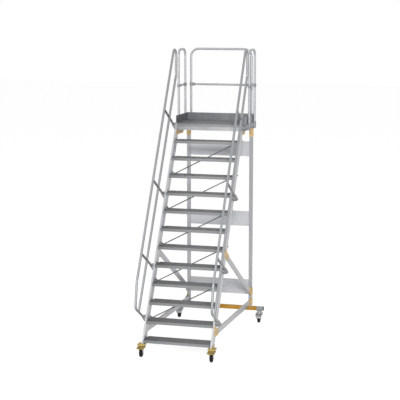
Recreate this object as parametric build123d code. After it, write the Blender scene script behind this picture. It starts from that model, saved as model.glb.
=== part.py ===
"""Mobile platform stairs: a steep aluminium stair with twelve treads and a guarded
working platform, on a rear frame, side braces and four swivel casters.

The model is drawn with Y = 0 at the nosing of the lowest tread, Y backwards in the
climbing direction, X to the right of someone who stands in front, and Z = 0 on the
floor. At the end everything moves along Y, so that the origin lies on the floor in
the middle of the stairs' length and width.
"""
import os
from math import cos, radians, sin, tan

from build123d import *

os.makedirs("parts", exist_ok=True)

# Flight of stairs
rise = 240.0
slope_degrees = 60.0
tread_count = 12
tread_depth = 240.0
tread_height = 40.0
tread_wall = 3.0
tread_lip = 14.0
tread_cap = 4.0
rib_pitch = 12.0
rib_width = 5.0
rib_height = 2.0
web_height = 14.0
web_spacing = 120.0

# Stringers, box sections on each side of the treads
clear_width = 960.0
stringer_thickness = 27.0
stringer_depth = 125.0
stringer_wall = 2.5
nosing_overhang = 22.5

# Working platform
platform_length = 717.0
deck_height = 36.0
side_beam_height = 105.0
side_beam_wall = 3.0
side_beam_front = 47.0
front_beam_height = 59.0
front_beam_depth = 40.0
front_beam_setback = 8.0
rear_beam_depth = 27.0
middle_beam_depth = 30.0
toe_board_height = 108.0
toe_board_thickness = 4.0
toe_board_flange = 40.0
toe_board_front = 115.0
toe_board_clearance = 0.5

# Tubes of all railings
rail_diameter = 35.0
rail_wall = 2.0
rail_gap = 20.5
mid_rail_diameter = 32.0

# Stair handrail, in distances square to the line of nosings
handrail_height = 480.0
knee_rail_height = 195.0
handrail_foot = 345.0
handrail_foot_corner = 360.0
handrail_straight_start = 700.0
handrail_drop = 182.0
foot_bend = 70.0
start_bend = 100.0
top_bend = 70.0
knee_bend = 80.0
knee_joint_length = 60.0
post_levels = (4, 8, 12)

# Sleeves that hold the rail posts to the stringers and to the platform
sleeve_wall = 6.0
sleeve_length = 120.0
sleeve_start = 30.0
sleeve_floor = 5.0
sleeve_pad_width = 80.0
sleeve_pad_inset = 8.0
sleeve_pad_corner = 20.0
platform_sleeve_length = 100.0

# Platform railings
railing_height = 1078.0
mid_rail_height = 540.0
side_post_front = 321.0
side_post_rear = 673.0
side_hoop_bend = 100.0
rear_hoop_half_width = 475.0
rear_hoop_bend = 120.0
joint_wall = 6.0
joint_height = 48.0
joint_length = 46.0

# Rear frame: two square posts on a cross beam, with three sheet panels between them
post_width = 50.0
post_wall = 3.0
beam_height = 60.0
beam_depth = 50.0
beam_wall = 3.0
beam_half_length = 597.0
beam_end_length = 103.0
beam_end_wall = 4.0
beam_cap_thickness = 6.0
panel_height = 226.0
panel_thickness = 2.5
panel_flange = 30.0
panel_bottoms = (434.0, 1503.0, 2580.0)
post_sleeve_height = 130.0
post_sleeve_wall = 3.0

# Side braces and base tubes between stringers and rear posts
brace_diameter = 42.0
brace_wall = 2.5
brace_level = 1360.0
base_tube_front_run = 284.0
base_tube_front_height = 350.0
base_tube_rear_height = 310.0
clamp_plate = 5.0
socket_wall = 5.0
socket_length = 55.0
upper_clamp_length = 150.0
lower_clamp_length = 120.0
clamp_reach = 108.0
clamp_back_width = 18.0
upper_collar_height = 110.0
lower_collar_height = 100.0

# Tie rods behind the treads
rod_diameter = 16.0
rod_clearance = 3.0
rod_lug_thickness = 7.0
rod_lug_width = 28.0
rod_lug_margin = 10.0
rod_left_offset = 118.0
rod_right_offset = 136.0

# Gussets on the inner faces of the stringers, under the platform
gusset_thickness = 6.0
gusset_drop = 164.0
gusset_front = -23.0
gusset_rear = 337.0
gusset_chamfer = 25.0

# Feet of the stringers
foot_plate_thickness = 6.0
foot_plate_width = 100.0
foot_plate_front = -35.0
foot_plate_rear = 150.0
foot_cheek = 5.0
foot_cheek_height = 85.0
foot_cheek_length = 150.0

# Casters
caster_height = 185.0
wheel_diameter = 125.0
wheel_width = 32.0
wheel_edge = 7.0
hub_diameter = 44.0
hub_half_width = 21.7
hub_recess = 6.0
rim_diameter = 92.0
axle_diameter = 12.0
axle_clearance = 0.05
axle_head_diameter = 19.0
axle_head_height = 6.0
trail = 35.0
fork_gap = 22.0
fork_thickness = 4.0
fork_boss = 16.0
fork_rear = 30.0
fork_front = 60.0
shoulder_half = 50.0
shoulder_drop = 18.0
shoulder_taper = 32.0
guard_gap = 6.5
guard_thickness = 4.0
guard_start = -15.0
guard_end = 78.0
crown_height = 146.0
crown_thickness = 4.0
head_diameter = 70.0
race_diameter = 80.0
race_height = 9.0
swivel_gap = 0.3
kingpin_diameter = 14.0
kingpin_clearance = 0.05
kingpin_head_diameter = 24.0
kingpin_head_height = 6.0
top_plate_width = 88.0
top_plate_depth = 84.0
top_plate_thickness = 4.0
front_caster_x = 508.0
front_caster_y = 28.0
rear_caster_inset = 59.0
pedal_length = 44.0
pedal_thickness = 4.0
pedal_reach = 76.0
pedal_height = 132.0

# Sizes that follow from the ones above
angle = radians(slope_degrees)
going = rise / tan(angle)
step_length = rise / sin(angle)
stringer_inner = clear_width / 2
stringer_outer = stringer_inner + stringer_thickness
stringer_middle = (stringer_inner + stringer_outer) / 2
stringer_front = -nosing_overhang
stringer_back = stringer_front - stringer_depth
platform_top = rise * (tread_count + 1)
platform_front = going * tread_count
platform_rear = platform_front + platform_length
side_beam_start = platform_front + side_beam_front
side_beam_bottom = platform_top - side_beam_height
deck_bottom = platform_top - deck_height
rail_offset = rail_gap + rail_diameter / 2
rail_x = stringer_outer + rail_offset
rear_hoop_y = platform_rear + rail_offset
rear_frame_y = platform_rear - post_width / 2
beam_end_half_length = beam_half_length + beam_end_length
rear_caster_x = beam_end_half_length - rear_caster_inset
foot_height = caster_height + foot_plate_thickness
beam_top = caster_height + beam_height
sides = (("left", -1), ("right", 1))


def on_slope(along, square, x=0.0):
    """A point given along the line of nosings and square to it, forwards and up."""
    y = along * cos(angle) - square * sin(angle)
    z = rise + along * sin(angle) + square * cos(angle)
    return Vector(x, y, z)


def slope_point(square, height):
    """The (y, z) point at a height, on a line parallel to the nosings."""
    along = (height - rise - square * cos(angle)) / sin(angle)
    point = on_slope(along, square)
    return (point.Y, point.Z)


def side_plate(points, x_from, x_to):
    """A flat piece whose outline is a list of (y, z) points, between two X planes."""
    outline = make_face(Polyline(*points, close=True))
    return extrude(Plane.YZ.offset(x_from) * outline, x_to - x_from)


def block(x_from, x_to, y_from, y_to, z_from, z_to):
    """A box between two planes on each axis."""
    size = (x_to - x_from, y_to - y_from, z_to - z_from)
    centre = ((x_from + x_to) / 2, (y_from + y_to) / 2, (z_from + z_to) / 2)
    return Pos(*centre) * Box(*size)


def bar(start, end, diameter):
    """A round bar between two points."""
    axis = end - start
    return extrude(Plane(origin=start, z_dir=axis) * Circle(diameter / 2), axis.length)


def swept(path, diameter):
    """A round section carried along a path."""
    section = Plane(origin=path @ 0, z_dir=path % 0) * Circle(diameter / 2)
    return sweep(section, path=path)


def bent_tube(points, bends):
    """The outer form and the bore of a rail that follows points with round bends."""
    path = FilletPolyline(*points, radius=bends)
    return swept(path, rail_diameter), swept(path, rail_diameter - 2 * rail_wall)


def to_side(shape, sign):
    """A right-hand piece as it is, or mirrored for the left."""
    return shape if sign > 0 else mirror(shape, Plane.YZ)


def plank_profile(depth, height):
    """Section of a ribbed plank, open below: front edge at 0, walking surface at 0."""
    lower = -height
    under = -rib_height - tread_wall
    pieces = [
        (0, depth, under, -rib_height),
        (0, tread_wall, lower, 0),
        (depth - tread_wall, depth, lower, 0),
        (0, tread_lip, lower, lower + tread_wall),
        (depth - tread_lip, depth, lower, lower + tread_wall),
    ]
    web_count = max(2, round(depth / web_spacing))
    for index in range(1, web_count + 1):
        middle = depth * index / (web_count + 1)
        pieces.append((middle - tread_wall / 2, middle + tread_wall / 2, under - web_height, under))
    rib_count = int((depth - 2 * tread_wall) / rib_pitch)
    first = (depth - (rib_count - 1) * rib_pitch) / 2
    for index in range(rib_count):
        middle = first + index * rib_pitch
        pieces.append((middle - rib_width / 2, middle + rib_width / 2, -rib_height, 0))
    rectangles = []
    for y_from, y_to, z_from, z_to in pieces:
        place = Pos((y_from + y_to) / 2, (z_from + z_to) / 2)
        rectangles.append(place * Rectangle(y_to - y_from, z_to - z_from))
    return Sketch() + rectangles


def plank(depth, height, half_length, front, top):
    """A ribbed plank across the stairs."""
    section = Plane.YZ.offset(-half_length) * plank_profile(depth, height)
    return Pos(0, front, top) * extrude(section, 2 * half_length)


def stringer():
    """Right-hand stringer: a box section cut level at the foot and upright at the top."""
    level = platform_top

    def upright(square, y):
        along = (y + square * sin(angle)) / cos(angle)
        point = on_slope(along, square)
        return (point.Y, point.Z)

    outline = [
        slope_point(stringer_front, foot_height),
        slope_point(stringer_front, level),
        (side_beam_start, level),
        upright(stringer_back, side_beam_start),
        slope_point(stringer_back, foot_height),
    ]
    front = stringer_front - stringer_wall
    back = stringer_back + stringer_wall
    hollow = [
        slope_point(front, 0),
        slope_point(front, level - stringer_wall),
        (side_beam_start - stringer_wall, level - stringer_wall),
        upright(back, side_beam_start - stringer_wall),
        slope_point(back, 0),
    ]
    body = side_plate(outline, stringer_inner, stringer_outer)
    return body - side_plate(hollow, stringer_inner + stringer_wall, stringer_outer - stringer_wall)


def tread(number):
    """Aluminium plank of one step, between its two end caps."""
    return plank(tread_depth, tread_height, stringer_inner - tread_cap,
                 (number - 1) * going, number * rise)


def tread_caps():
    """Plastic caps on the right-hand ends of all treads."""
    caps = []
    for number in range(1, tread_count + 1):
        front = (number - 1) * going
        top = number * rise
        caps.append(block(stringer_inner - tread_cap, stringer_inner,
                          front, front + tread_depth, top - tread_height, top))
    return caps


def deck():
    """Ribbed walking surface of the platform, between the side beams."""
    return plank(platform_length - rear_beam_depth, deck_height, stringer_inner,
                 platform_front, platform_top)


def platform_frame():
    """Welded frame that carries the deck: two side beams and three cross beams."""
    wall = side_beam_wall
    front_from = platform_front + front_beam_setback
    middle = (platform_front + platform_rear) / 2
    rear_from = platform_rear - rear_beam_depth
    front_low = deck_bottom - front_beam_height
    cross_beams = (
        (front_from, front_from + front_beam_depth, front_low, deck_bottom),
        (middle - middle_beam_depth / 2, middle + middle_beam_depth / 2, front_low, deck_bottom),
        (rear_from, platform_rear, side_beam_bottom, platform_top),
    )
    frame = Part()
    for y_from, y_to, z_from, z_to in cross_beams:
        solid = block(-stringer_inner, stringer_inner, y_from, y_to, z_from, z_to)
        bore = block(-stringer_inner, stringer_inner, y_from + wall, y_to - wall,
                     z_from + wall, z_to - wall)
        frame += solid - bore
    for _, sign in sides:
        beam = block(stringer_inner, stringer_outer, side_beam_start, platform_rear,
                     side_beam_bottom, platform_top)
        beam -= block(stringer_inner + wall, stringer_outer - wall, side_beam_start,
                      platform_rear - wall, side_beam_bottom + wall, platform_top - wall)
        frame += to_side(beam, sign)
    return frame


def toe_boards():
    """Folded sheet on three sides of the platform, upright inside the railing posts."""
    reach = rail_gap - toe_board_clearance
    top = platform_top + toe_board_height

    def inside(margin, bottom):
        half = stringer_outer + reach - margin
        return block(-half, half, platform_front, platform_rear + reach - margin, bottom, top)

    half = stringer_outer + reach
    form = block(-half, half, platform_front + toe_board_front, platform_rear + reach,
                 platform_top, top)
    form -= inside(toe_board_thickness, platform_top + toe_board_thickness)
    return form - inside(toe_board_flange, platform_top)


# Points of the right-hand stair rails
foot_end = on_slope(handrail_foot, -(sleeve_start + sleeve_length - sleeve_floor), rail_x)
foot_corner = on_slope(handrail_foot, handrail_foot_corner, rail_x)
straight_start = on_slope(handrail_straight_start, handrail_height, rail_x)
drop_y = platform_front + handrail_drop
top_corner = on_slope((drop_y + handrail_height * sin(angle)) / cos(angle), handrail_height, rail_x)
knee_corner = on_slope((drop_y + knee_rail_height * sin(angle)) / cos(angle), knee_rail_height, rail_x)
rail_joint = knee_corner + Vector(0, 0, knee_joint_length)
knee_end = on_slope(handrail_foot, knee_rail_height, rail_x)

handrail_form, handrail_bore = bent_tube(
    [foot_end, foot_corner, straight_start, top_corner, rail_joint],
    [foot_bend, start_bend, top_bend])
knee_form, knee_bore = bent_tube([rail_joint, knee_corner, knee_end], [knee_bend])


def knee_rail():
    """Knee rail, notched to the handrail's foot."""
    return knee_form - knee_bore - handrail_form


def rail_posts():
    """Posts of the stair rails, square to the slope and notched to both rails."""
    posts = []
    for level in post_levels:
        along = level * step_length
        low = on_slope(along, -(sleeve_start + sleeve_length - sleeve_floor), rail_x)
        high = on_slope(along, handrail_height, rail_x)
        post = bar(low, high, rail_diameter) - bar(low, high, rail_diameter - 2 * rail_wall)
        posts += (post - handrail_form - knee_form).solids()
    return posts


def sleeve(low, high, closed):
    """A cast sleeve round a tube between two points, with a wide pad for the stringer."""
    axis = high - low
    direction = axis.normalized()
    middle = (low + high) / 2
    pad_plane = Plane(origin=(stringer_outer, middle.Y, middle.Z), x_dir=direction, z_dir=(1, 0, 0))
    pad = RectangleRounded(axis.length - 2 * sleeve_pad_inset, sleeve_pad_width, sleeve_pad_corner)
    form = bar(low, high, rail_diameter + 2 * sleeve_wall) + extrude(pad_plane * pad, rail_offset)
    bore_start = low + direction * (sleeve_floor if closed else 0)
    return form - bar(bore_start, high, rail_diameter)


def rail_sleeves():
    """Right-hand sleeves of the stair posts and of the handrail's foot."""
    sleeves = []
    stations = [handrail_foot] + [level * step_length for level in post_levels]
    for along in stations:
        high = on_slope(along, -sleeve_start, rail_x)
        low = on_slope(along, -sleeve_start - sleeve_length, rail_x)
        sleeves.append(sleeve(low, high, True))
    return sleeves


def hoop(low_a, low_b, height, bend):
    """Outer form and bore of a railing hoop that stands on two points."""
    rise_vector = Vector(0, 0, height)
    return bent_tube([low_a, low_a + rise_vector, low_b + rise_vector, low_b], [bend, bend])


def side_railing():
    """Right-hand platform railing: a hoop and its mid rail."""
    low = side_beam_bottom
    front = Vector(rail_x, platform_front + side_post_front, low)
    rear = Vector(rail_x, platform_front + side_post_rear, low)
    form, bore = hoop(front, rear, platform_top + railing_height - low, side_hoop_bend)
    mid = Vector(0, 0, platform_top + mid_rail_height - low)
    rail = bar(front + mid, rear + mid, mid_rail_diameter)
    rail_bore = bar(front + mid, rear + mid, mid_rail_diameter - 2 * rail_wall)
    return form + rail - bore - rail_bore


def railing_sleeves():
    """Right-hand sleeves that hold the platform railings to the side and rear beams."""
    middle = (side_beam_bottom + platform_top) / 2
    low = Vector(rail_x, 0, middle - platform_sleeve_length / 2)
    piece = sleeve(low, low + Vector(0, 0, platform_sleeve_length), False)
    sleeves = [Pos(0, platform_front + y, 0) * piece for y in (side_post_front, side_post_rear)]
    on_origin = Pos(-stringer_outer, 0, 0) * piece
    sleeves.append(Pos(rear_hoop_half_width, platform_rear, 0) * Rot(0, 0, 90) * on_origin)
    return sleeves


def rear_railing():
    """Rear platform railing: a hoop with its mid rail, outside the toe board."""
    low = side_beam_bottom
    left = Vector(-rear_hoop_half_width, rear_hoop_y, low)
    right = Vector(rear_hoop_half_width, rear_hoop_y, low)
    form, bore = hoop(left, right, platform_top + railing_height - low, rear_hoop_bend)
    mid = Vector(0, 0, platform_top + mid_rail_height - low)
    form += bar(left + mid, right + mid, mid_rail_diameter)
    bore += bar(left + mid, right + mid, mid_rail_diameter - 2 * rail_wall)
    return form - bore


def rail_joint_piece(post, direction):
    """A cast tee round a railing post and the start of its mid rail."""
    half = Vector(0, 0, joint_height / 2)
    far = direction * (joint_length + rail_diameter / 2)
    form = bar(post - half, post + half, rail_diameter + 2 * joint_wall)
    form += bar(post, post + far, mid_rail_diameter + 2 * joint_wall)
    return form - bar(post - half, post + half, rail_diameter) - bar(post, post + far, mid_rail_diameter)


def railing_joints():
    """Right-hand tees between the railing posts and the mid rails."""
    height = platform_top + mid_rail_height
    front = Vector(rail_x, platform_front + side_post_front, height)
    rear = Vector(rail_x, platform_front + side_post_rear, height)
    corner = Vector(rear_hoop_half_width, rear_hoop_y, height)
    return [rail_joint_piece(front, Vector(0, 1, 0)), rail_joint_piece(rear, Vector(0, -1, 0)),
            rail_joint_piece(corner, Vector(-1, 0, 0))]


def rear_post():
    """Right-hand square post from the cross beam to the platform."""
    half = post_width / 2
    inner = half - post_wall
    x = stringer_middle
    form = block(x - half, x + half, rear_frame_y - half, rear_frame_y + half, beam_top, side_beam_bottom)
    bore = block(x - inner, x + inner, rear_frame_y - inner, rear_frame_y + inner,
                 beam_top, side_beam_bottom)
    return form - bore


def post_sleeve():
    """Right-hand sleeve round the top of the rear post."""
    half = post_width / 2
    outer = half + post_sleeve_wall
    x = stringer_middle
    low = side_beam_bottom - post_sleeve_height
    form = block(x - outer, x + outer, rear_frame_y - outer, rear_frame_y + outer, low, side_beam_bottom)
    return form - block(x - half, x + half, rear_frame_y - half, rear_frame_y + half,
                        low, side_beam_bottom)


def cross_panels():
    """Folded sheet panels between the rear posts, open to the rear."""
    half = stringer_middle - post_width / 2
    front = rear_frame_y - panel_flange / 2
    panels = []
    for low in panel_bottoms:
        high = low + panel_height
        form = block(-half, half, front, front + panel_flange, low, high)
        form -= block(-half, half, front + panel_thickness, front + panel_flange,
                      low + panel_thickness, high - panel_thickness)
        panels.append(form)
    return panels


def beam_piece(x_from, x_to, wall):
    """A length of the rear cross beam, a box section."""
    half = beam_depth / 2
    form = block(x_from, x_to, rear_frame_y - half, rear_frame_y + half, caster_height, beam_top)
    return form - block(x_from, x_to, rear_frame_y - half + wall, rear_frame_y + half - wall,
                        caster_height + wall, beam_top - wall)


def beam_cap():
    """Right-hand plastic cap on the end of the cross beam."""
    half = beam_depth / 2
    return block(beam_end_half_length, beam_end_half_length + beam_cap_thickness,
                 rear_frame_y - half, rear_frame_y + half, caster_height, beam_top)


def collar_block(height, middle):
    """Outer form of the collar round the rear post, open towards the middle."""
    half = post_width / 2
    x = stringer_middle
    return block(x - half, x + half + clamp_plate, rear_frame_y - half - clamp_plate,
                 rear_frame_y + half + clamp_plate, middle - height / 2, middle + height / 2)


def stringer_band(along_from, along_to, square_from, square_to, x_from, x_to):
    """A block laid in the directions of the slope."""
    points = []
    for along, square in ((along_from, square_from), (along_to, square_from),
                          (along_to, square_to), (along_from, square_to)):
        corner = on_slope(along, square)
        points.append((corner.Y, corner.Z))
    return side_plate(points, x_from, x_to)


# Axes of the right-hand brace and base tube
collar_front = rear_frame_y - post_width / 2 - clamp_plate
brace_start = on_slope(brace_level, stringer_back, stringer_middle)
brace_run = (rear_frame_y - brace_start.Y) / sin(angle)
brace_end = on_slope(brace_level, stringer_back - brace_run, stringer_middle)
brace_collar_z = brace_end.Z + (rear_frame_y - collar_front) / tan(angle)
base_slope = ((base_tube_rear_height - base_tube_front_height)
              / (collar_front - base_tube_front_run))
base_start = Vector(stringer_middle, 0, base_tube_front_height - base_slope * base_tube_front_run)
base_end = Vector(stringer_middle, rear_frame_y,
                  base_tube_rear_height + base_slope * (rear_frame_y - collar_front))
base_clamp_point = Vector(stringer_middle, base_tube_front_run, base_tube_front_height)
base_level = base_clamp_point.Y * cos(angle) + (base_clamp_point.Z - rise) * sin(angle)
brace_table = (
    # start, end, middle of clamp along the slope, clamp length, collar middle, collar height
    (brace_start, brace_end, brace_level, upper_clamp_length, brace_collar_z, upper_collar_height),
    (base_start, base_end, base_level, lower_clamp_length, base_tube_rear_height, lower_collar_height),
)
stringer_side = stringer_band(-rise, tread_count * step_length, handrail_height,
                              stringer_back - clamp_plate,
                              stringer_inner - post_width, stringer_outer + post_width)
post_side = block(stringer_inner - post_width, stringer_outer + post_width, collar_front,
                  platform_rear, 0, platform_top)


def brace_tube(row):
    """A round tube between the clamp on the stringer and the collar on the post."""
    start, end = row[0], row[1]
    form = bar(start, end, brace_diameter) - bar(start, end, brace_diameter - 2 * brace_wall)
    return form - stringer_side - post_side


def brace_socket(start, end):
    """A short sleeve round the first stretch of a tube."""
    outer = bar(start, start + (end - start).normalized() * socket_length,
                brace_diameter + 2 * socket_wall)
    return outer - bar(start, end, brace_diameter)


def brace_clamps(row):
    """The bracket on the stringer and the collar on the rear post of one tube."""
    start, end, along, length, collar_z, collar_height = row
    direction = (end - start).normalized()
    near = along - length / 2
    far = along + length / 2
    bracket = stringer_band(near, far, stringer_back + clamp_reach, stringer_back - clamp_plate,
                            stringer_outer, stringer_outer + clamp_plate)
    bracket += stringer_band(near, far, stringer_back, stringer_back - clamp_plate,
                             stringer_outer - clamp_back_width, stringer_outer + clamp_plate)
    plate_y = on_slope(along, stringer_back - clamp_plate).Y
    socket_start = start + direction * max(0.0, (plate_y - start.Y) / direction.Y - socket_wall)
    bracket += brace_socket(socket_start, end) - stringer_side
    half = post_width / 2
    collar = collar_block(collar_height, collar_z)
    collar -= block(stringer_middle - half, stringer_middle + half, rear_frame_y - half,
                    rear_frame_y + half, 0, platform_top)
    back_start = end - direction * ((rear_frame_y - collar_front) / direction.Y - socket_wall)
    collar += brace_socket(back_start, start) - post_side
    return [bracket, collar]


def tie_rods():
    """Diagonal rods behind the treads, each from a left lug up to a right lug."""
    tread_back = -(tread_depth * sin(angle) + tread_height * cos(angle))
    square = tread_back - rod_clearance - rod_diameter / 2
    lug_end = square - rod_diameter / 2 - rod_lug_margin
    x = stringer_inner + rod_lug_thickness / 2
    rods = []
    for number in range(2, tread_count, 2):
        left_along = (number - 1) * step_length + rod_left_offset
        right_along = (number + 1) * step_length + rod_right_offset
        rod = bar(on_slope(left_along, square, -x), on_slope(right_along, square, x), rod_diameter)
        for sign, along in ((-1, left_along), (1, right_along)):
            lug = stringer_band(along - rod_lug_width / 2, along + rod_lug_width / 2, stringer_back,
                                lug_end, stringer_inner, stringer_inner + rod_lug_thickness)
            rod += to_side(lug, sign)
        rods.append(rod)
    return rods


def gusset():
    """Right-hand gusset on the inner faces of stringer and side beam, round the front beam."""
    low = platform_top - gusset_drop
    front = platform_front + gusset_front
    rear = platform_front + gusset_rear
    beam_rear = platform_front + front_beam_setback + front_beam_depth
    beam_bottom = deck_bottom - front_beam_height
    outline = [
        (front, low),
        (rear - gusset_chamfer, low),
        (rear, low + gusset_chamfer),
        (rear, deck_bottom),
        (beam_rear, deck_bottom),
        (beam_rear, beam_bottom),
        (front, beam_bottom),
    ]
    return side_plate(outline, stringer_inner - gusset_thickness, stringer_inner)


def foot_bracket():
    """Right-hand foot: a plate over the caster, a cheek and a flange on the stringer."""
    half = foot_plate_width / 2
    plate = block(front_caster_x - half, front_caster_x + half, foot_plate_front, foot_plate_rear,
                  caster_height, foot_height)
    high = foot_height + foot_cheek_height
    front = stringer_front + foot_cheek
    rear = front - foot_cheek_length * sin(angle)
    outer = stringer_outer + foot_cheek
    cheek = [slope_point(front, foot_height), slope_point(front, high),
             slope_point(rear, high), slope_point(rear, foot_height)]
    flange = [slope_point(front, foot_height), slope_point(front, high),
              slope_point(stringer_front, high), slope_point(stringer_front, foot_height)]
    return plate + side_plate(cheek, stringer_outer, outer) + side_plate(flange, stringer_inner, outer)


# Places of the casters: name, swivel axis X and Y, whether it has a brake pedal
caster_table = (
    ("front_left", -front_caster_x, front_caster_y, True),
    ("front_right", front_caster_x, front_caster_y, True),
    ("rear_left", -rear_caster_x, rear_frame_y, False),
    ("rear_right", rear_caster_x, rear_frame_y, False),
)
axle_height = wheel_diameter / 2
plate_bottom = caster_height - top_plate_thickness
race_bottom = plate_bottom - race_height
head_top = race_bottom - swivel_gap


def caster_plate():
    """Top plate of a caster with its race and kingpin."""
    plate = block(-top_plate_width / 2, top_plate_width / 2, -top_plate_depth / 2,
                  top_plate_depth / 2, plate_bottom, caster_height)
    race = bar(Vector(0, 0, race_bottom), Vector(0, 0, plate_bottom), race_diameter)
    head_low = crown_height - swivel_gap - kingpin_head_height
    pin = bar(Vector(0, 0, head_low), Vector(0, 0, race_bottom), kingpin_diameter)
    head = bar(Vector(0, 0, head_low), Vector(0, 0, crown_height - swivel_gap), kingpin_head_diameter)
    return plate + race + pin + head


def caster_fork():
    """Fork of a caster: bearing head, wide shoulders, two legs and a guard over the wheel."""
    crown_top = crown_height + crown_thickness

    def front_profile(margin, lift):
        # Half outline seen from the front: shoulder, taper and leg
        shoulder = shoulder_half - margin
        leg = fork_gap + fork_thickness - margin
        taper_top = crown_top - shoulder_drop + lift
        taper_end = taper_top - shoulder_taper
        right = [(shoulder, crown_top - margin), (shoulder, taper_top), (leg, taper_end), (leg, 0)]
        left = [(-x, z) for x, z in reversed(right)]
        return make_face(Polyline(*right, *left, close=True))

    def across(section):
        # The whole length of the fork, from its rear to the front of the guard
        return extrude(Plane.XZ.offset(-fork_rear) * section, fork_rear + trail + wheel_diameter)

    axle = Pos(-trail, axle_height)
    guard_inner = axle_height + guard_gap
    guard_outer = guard_inner + guard_thickness
    rays = [(-trail, axle_height)]
    for degrees in (guard_start, (guard_start + guard_end) / 2, guard_end):
        turn = radians(degrees)
        rays.append((-trail - wheel_diameter * sin(turn), axle_height + wheel_diameter * cos(turn)))
    sector = make_face(Polyline(*rays, close=True))
    brow = radians((guard_start + guard_end) * 2 / 3)
    side = make_face(Polyline(
        (fork_rear, crown_top), (-fork_front, crown_top),
        (-trail - guard_outer * sin(brow), axle_height + guard_outer * cos(brow)),
        (-trail - fork_boss, axle_height), (-trail + fork_boss, axle_height), close=True))
    side += axle * Circle(fork_boss)
    side += (axle * Circle(guard_outer)) & sector
    ring = (axle * Circle(guard_outer) - axle * Circle(guard_inner)) & sector
    solid_front = across(front_profile(0, 0))
    shell = solid_front - across(front_profile(fork_thickness, fork_thickness / 2))
    width = 2 * shoulder_half
    fork = shell & extrude(Plane.YZ.offset(-shoulder_half) * side, width)
    fork += solid_front & extrude(Plane.YZ.offset(-shoulder_half) * ring, width)
    fork += bar(Vector(0, 0, crown_top), Vector(0, 0, head_top), head_diameter)
    outside = fork_gap + fork_thickness
    fork -= bar(Vector(-outside, -trail, axle_height), Vector(outside, -trail, axle_height),
                axle_diameter)
    bore = kingpin_diameter + 2 * kingpin_clearance
    return fork - bar(Vector(0, 0, crown_height), Vector(0, 0, head_top), bore)


def caster_axle():
    """Bolt through the fork and the wheel."""
    outside = fork_gap + fork_thickness
    axle = bar(Vector(-outside, -trail, axle_height), Vector(outside, -trail, axle_height),
               axle_diameter)
    for x_from in (-outside - axle_head_height, outside):
        axle += bar(Vector(x_from, -trail, axle_height),
                    Vector(x_from + axle_head_height, -trail, axle_height), axle_head_diameter)
    return axle


def caster_wheel():
    """Wheel of a caster: a rounded tyre on a dished centre with a hub."""
    radius = wheel_diameter / 2
    half = wheel_width / 2
    bore = axle_diameter / 2 + axle_clearance
    # Half section of the wheel: distance from the axle and distance from the middle
    corners = [
        (bore, -hub_half_width),
        (hub_diameter / 2, -hub_half_width),
        (hub_diameter / 2, -half + hub_recess),
        (rim_diameter / 2, -half + hub_recess),
        (rim_diameter / 2, -half),
        (radius, -half),
        (radius, half),
        (rim_diameter / 2, half),
        (rim_diameter / 2, half - hub_recess),
        (hub_diameter / 2, half - hub_recess),
        (hub_diameter / 2, hub_half_width),
        (bore, hub_half_width),
    ]
    section = make_face(Polyline(*corners, close=True))
    tyre_corners = section.vertices().sort_by(Axis.X)[-2:]
    section = fillet(tyre_corners, wheel_edge)
    wheel = revolve(section, Axis.Y)
    return Pos(0, -trail, axle_height) * Rot(0, 0, 90) * wheel


def brake_pedal():
    """Brake pedal of a front caster: a plate on two arms beside the fork's shoulders."""
    half = shoulder_half + pedal_thickness
    top = pedal_height + pedal_thickness
    pedal = block(-half, half, -pedal_reach - pedal_length, -pedal_reach, pedal_height, top)
    arm = [
        (-trail, crown_height),
        (-trail, pedal_height),
        (-pedal_reach, pedal_height),
        (-pedal_reach, top),
        (-fork_front, crown_height),
    ]
    for x_from in (-half, shoulder_half):
        pedal += side_plate(arm, x_from, x_from + pedal_thickness)
    return pedal


nodes = {}
for side, sign in sides:
    nodes[f"stringer_{side}"] = [to_side(stringer(), sign)]
    nodes[f"handrail_{side}"] = [to_side(handrail_form - handrail_bore, sign)]
    nodes[f"knee_rail_{side}"] = [to_side(knee_rail(), sign)]
    nodes[f"rail_posts_{side}"] = [to_side(post, sign) for post in rail_posts()]
    nodes[f"platform_railing_{side}"] = [to_side(side_railing(), sign)]
    nodes[f"rear_post_{side}"] = [to_side(rear_post(), sign)]
    nodes[f"side_brace_{side}"] = [to_side(brace_tube(brace_table[0]), sign)]
    nodes[f"base_tube_{side}"] = [to_side(brace_tube(brace_table[1]), sign)]
for number in range(1, tread_count + 1):
    nodes[f"tread_{number:02d}"] = [tread(number)]
clamps = [piece for row in brace_table for piece in brace_clamps(row)]
for name, pieces in (("tread_caps", tread_caps()), ("rail_sleeves", rail_sleeves()),
                     ("railing_sleeves", railing_sleeves()), ("railing_joints", railing_joints()),
                     ("brace_clamps", clamps),
                     ("post_sleeves", [post_sleeve()]), ("platform_gussets", [gusset()]),
                     ("cross_beam_ends", [beam_piece(beam_half_length, beam_end_half_length, beam_end_wall)]),
                     ("cross_beam_caps", [beam_cap()]), ("foot_brackets", [foot_bracket()])):
    nodes[name] = [to_side(piece, sign) for _, sign in sides for piece in pieces]
nodes["platform_deck"] = [deck()]
nodes["platform_frame"] = [platform_frame()]
nodes["toe_boards"] = [toe_boards()]
nodes["platform_railing_rear"] = [rear_railing()]
nodes["cross_panels"] = cross_panels()
nodes["cross_beam"] = [beam_piece(-beam_half_length, beam_half_length, beam_wall)]
nodes["tie_rods"] = tie_rods()
nodes["caster_plates"] = [Pos(x, y, 0) * caster_plate() for _, x, y, _ in caster_table]
for name, x, y, braked in caster_table:
    nodes[f"caster_fork_{name}"] = [Pos(x, y, 0) * caster_fork()]
    nodes[f"caster_axle_{name}"] = [Pos(x, y, 0) * caster_axle()]
    nodes[f"caster_wheel_{name}"] = [Pos(x, y, 0) * caster_wheel()]
    if braked:
        nodes[f"brake_pedal_{name}"] = [Pos(x, y, 0) * brake_pedal()]

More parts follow.
